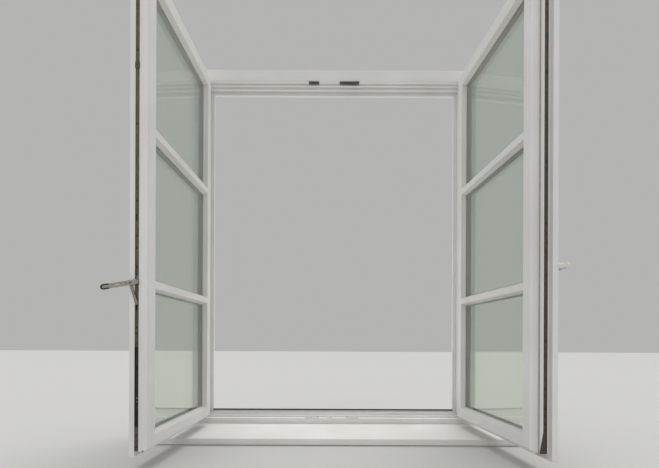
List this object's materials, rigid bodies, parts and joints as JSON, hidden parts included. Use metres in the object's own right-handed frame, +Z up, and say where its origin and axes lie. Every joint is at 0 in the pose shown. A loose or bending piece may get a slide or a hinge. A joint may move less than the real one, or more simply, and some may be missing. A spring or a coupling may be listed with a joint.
{
  "type": "double casement window",
  "caption": "Two-leaf inward-opening timber casement window with its frame, stepped rebates, glazing bars, edge gear with rebate lever, weather rail and window board.",
  "frame": {"origin": "middle of the frame's underside, half-way through the frame's depth", "axes": "+X along the frame to the right seen from the room, +Y outward, +Z up; the leaves stand open into the room at rest"},
  "size_m": [1.3665, 0.6884, 1.552],
  "materials": {
    "frame_paint": "white opaque paint on softwood",
    "leaf_paint": "white opaque paint on softwood",
    "board_paint": "white sprayed board, smooth",
    "glass": "clear float glass, double glazed",
    "white_aluminium": "white powder coat",
    "seal_rubber": "black sealing strip",
    "leaf_seal_rubber": "light grey sealing strip",
    "galvanised_steel": "zinc plated",
    "grey_steel": "dull grey zinc",
    "white_steel": "overpainted white",
    "hinge_steel": "white cap and coat",
    "black_plastic": "black moulded cap",
    "run_up_plastic": "white moulding",
    "handle_enamel": "white enamel on die casting"
  },
  "bodies": {
    "frame": {"frame_head": "frame_paint", "frame_jamb_left": "frame_paint", "frame_jamb_right": "frame_paint", "frame_sill": "frame_paint", "head_keep_left": "grey_steel", "head_keep_right": "grey_steel", "keep_screws": "galvanised_steel", "left_lower_frame_hinge": "hinge_steel", "left_upper_frame_hinge": "hinge_steel", "right_lower_frame_hinge": "hinge_steel", "right_upper_frame_hinge": "hinge_steel", "run_up_block": "run_up_plastic", "sill_keep_left": "white_steel", "sill_keep_right": "white_steel", "weather_rail": "white_aluminium", "weather_rail_seal": "seal_rubber", "window_board": "board_paint"},
    "left_leaf": {"left_beads": "leaf_paint", "left_bottom_rail": "leaf_paint", "left_gear": "galvanised_steel", "left_glass_bottom": "glass", "left_glass_middle": "glass", "left_glass_top": "glass", "left_hinge_stile": "leaf_paint", "left_lower_bar": "leaf_paint", "left_lower_leaf_hinge": "hinge_steel", "left_meeting_stile": "leaf_paint", "left_seal": "leaf_seal_rubber", "left_top_rail": "leaf_paint", "left_upper_bar": "leaf_paint", "left_upper_leaf_hinge": "hinge_steel"},
    "right_leaf": {"right_beads": "leaf_paint", "right_bottom_rail": "leaf_paint", "right_gear": "galvanised_steel", "right_glass_bottom": "glass", "right_glass_middle": "glass", "right_glass_top": "glass", "right_handle_rose": "handle_enamel", "right_hinge_stile": "leaf_paint", "right_lower_bar": "leaf_paint", "right_lower_leaf_hinge": "hinge_steel", "right_meeting_stile": "leaf_paint", "right_seal": "leaf_seal_rubber", "right_top_rail": "leaf_paint", "right_upper_bar": "leaf_paint", "right_upper_leaf_hinge": "hinge_steel"},
    "left_upper_rod": {"left_upper_rod": "galvanised_steel"},
    "left_lower_rod": {"left_lower_rod": "galvanised_steel"},
    "left_upper_cam": {"left_upper_cam": "galvanised_steel"},
    "left_lower_cam": {"left_lower_cam": "galvanised_steel"},
    "left_rebate_lever": {"left_rebate_lever": "galvanised_steel", "left_lever_cap": "black_plastic"},
    "left_lever_link": {"left_lever_link": "galvanised_steel"},
    "right_upper_rod": {"right_upper_rod": "galvanised_steel"},
    "right_lower_rod": {"right_lower_rod": "galvanised_steel"},
    "right_upper_cam": {"right_upper_cam": "galvanised_steel"},
    "right_lower_cam": {"right_lower_cam": "galvanised_steel"},
    "right_handle": {"right_handle": "handle_enamel"},
    "right_upper_roller": {"right_upper_roller": "galvanised_steel"},
    "right_lower_roller": {"right_lower_roller": "galvanised_steel"}
  },
  "joints": [
    {"name": "left_leaf_hinge", "type": "hinge", "parent": "frame", "child": "left_leaf", "pos_m": [-0.5765, -0.043, 0.776], "axis": [0, 0, -1], "range_deg": [-91.7, 78.3]},
    {"name": "right_leaf_hinge", "type": "hinge", "parent": "frame", "child": "right_leaf", "pos_m": [0.5765, -0.043, 0.776], "axis": [0, 0, 1], "range_deg": [-94.5, 75.5]},
    {"name": "rebate_lever_pivot", "type": "hinge", "parent": "left_leaf", "child": "left_rebate_lever", "pos_m": [-0.57525, -0.60779, 0.551], "axis": [0.0297, 0.9996, 0], "range_deg": [-81, 0]},
    {"name": "lever_link_pivot", "type": "hinge", "parent": "left_rebate_lever", "child": "left_lever_link", "pos_m": [-0.59308, -0.60926, 0.54818], "axis": [0.0297, 0.9996, 0], "range_deg": [-0.5, 98.2]},
    {"name": "left_upper_rod_slide", "type": "slide", "parent": "left_leaf", "child": "left_upper_rod", "axis": [0, 0, -1], "range_m": [-0.0181, 0.0001]},
    {"name": "left_lower_rod_slide", "type": "slide", "parent": "left_leaf", "child": "left_lower_rod", "axis": [0, 0, 1], "range_m": [-0.0181, 0.0001]},
    {"name": "left_upper_cam_slide", "type": "slide", "parent": "left_leaf", "child": "left_upper_cam", "axis": [-0.0297, -0.9996, 0], "range_m": [-0.0181, 0.0001]},
    {"name": "left_lower_cam_slide", "type": "slide", "parent": "left_leaf", "child": "left_lower_cam", "axis": [-0.0297, -0.9996, 0], "range_m": [-0.0181, 0.0001]},
    {"name": "right_upper_roller_turn", "type": "hinge", "parent": "right_upper_cam", "child": "right_upper_roller", "pos_m": [0.59861, -0.55334, 1.496], "axis": [0, 0, 1], "continuous": true},
    {"name": "right_lower_roller_turn", "type": "hinge", "parent": "right_lower_cam", "child": "right_lower_roller", "pos_m": [0.59861, -0.55334, 0.056], "axis": [0, 0, 1], "continuous": true},
    {"name": "handle_turn", "type": "hinge", "parent": "right_leaf", "child": "right_handle", "pos_m": [0.6411, -0.59614, 0.606], "axis": [0.9969, 0.0785, 0], "range_deg": [-90, 0]},
    {"name": "right_upper_rod_slide", "type": "slide", "parent": "right_leaf", "child": "right_upper_rod", "axis": [0, 0, -1], "range_m": [-0.0181, 0.0001]},
    {"name": "right_lower_rod_slide", "type": "slide", "parent": "right_leaf", "child": "right_lower_rod", "axis": [0, 0, 1], "range_m": [-0.0181, 0.0001]},
    {"name": "right_upper_cam_slide", "type": "slide", "parent": "right_leaf", "child": "right_upper_cam", "axis": [0.0785, -0.9969, 0], "range_m": [-0.0181, 0.0001]},
    {"name": "right_lower_cam_slide", "type": "slide", "parent": "right_leaf", "child": "right_lower_cam", "axis": [0.0785, -0.9969, 0], "range_m": [-0.0181, 0.0001]}
  ],
  "couplings": [
    {"joint": "lever_link_pivot", "follows": "rebate_lever_pivot", "ratio": -1.2064},
    {"joint": "left_upper_rod_slide", "follows": "rebate_lever_pivot", "m_per_rad": 0.012732},
    {"joint": "right_upper_rod_slide", "follows": "handle_turn", "m_per_rad": 0.011459},
    {"joint": "left_lower_rod_slide", "follows": "rebate_lever_pivot", "m_per_rad": 0.012732},
    {"joint": "right_lower_rod_slide", "follows": "handle_turn", "m_per_rad": 0.011459},
    {"joint": "left_upper_cam_slide", "follows": "rebate_lever_pivot", "m_per_rad": 0.012732},
    {"joint": "right_upper_cam_slide", "follows": "handle_turn", "m_per_rad": 0.011459},
    {"joint": "left_lower_cam_slide", "follows": "rebate_lever_pivot", "m_per_rad": 0.012732},
    {"joint": "right_lower_cam_slide", "follows": "handle_turn", "m_per_rad": 0.011459}
  ]
}
